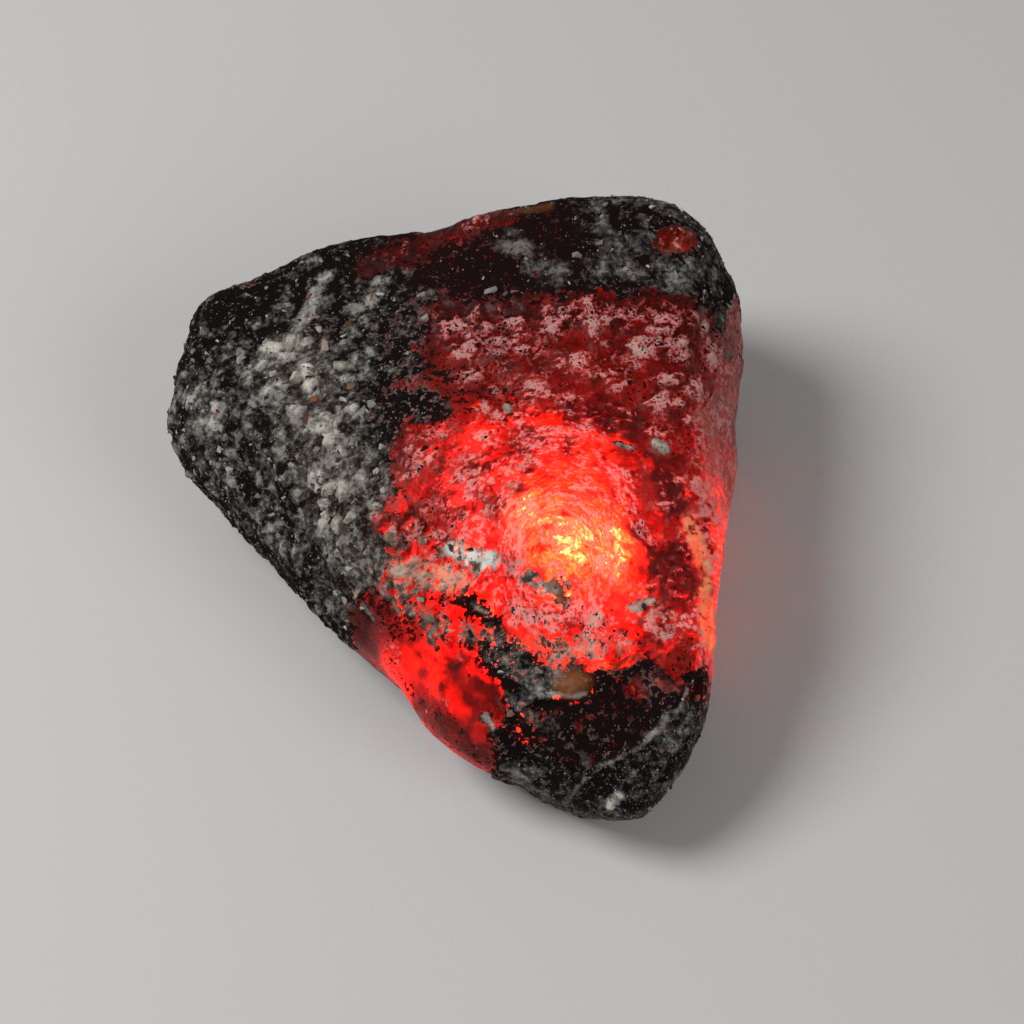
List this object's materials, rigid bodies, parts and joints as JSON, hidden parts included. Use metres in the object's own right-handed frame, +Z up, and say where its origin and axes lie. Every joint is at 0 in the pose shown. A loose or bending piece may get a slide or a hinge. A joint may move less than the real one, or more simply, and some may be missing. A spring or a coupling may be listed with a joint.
{
  "type": "rough amber lump",
  "caption": "Rough lump of dark red amber with a weathered grainy crust, a swollen top, a narrow front tip and a flat patch to rest on.",
  "frame": {"origin": "middle of the outline's box, on the surface that the lump rests on", "axes": "+Z up from the flat underside, the lump's thinnest way; +Y from the narrow front tip to the broad back, its longest way; +X towards the straight right-hand wall"},
  "size_m": [0.0374, 0.0408, 0.0182],
  "materials": {
    "amber": "clear deep red resin, dull and crinkled on the skin and glossy on its fractures",
    "crust": "matt grey-beige grains and black weathered rind"
  },
  "bodies": {
    "root": {"rough_amber": "amber"}
  },
  "joints": []
}
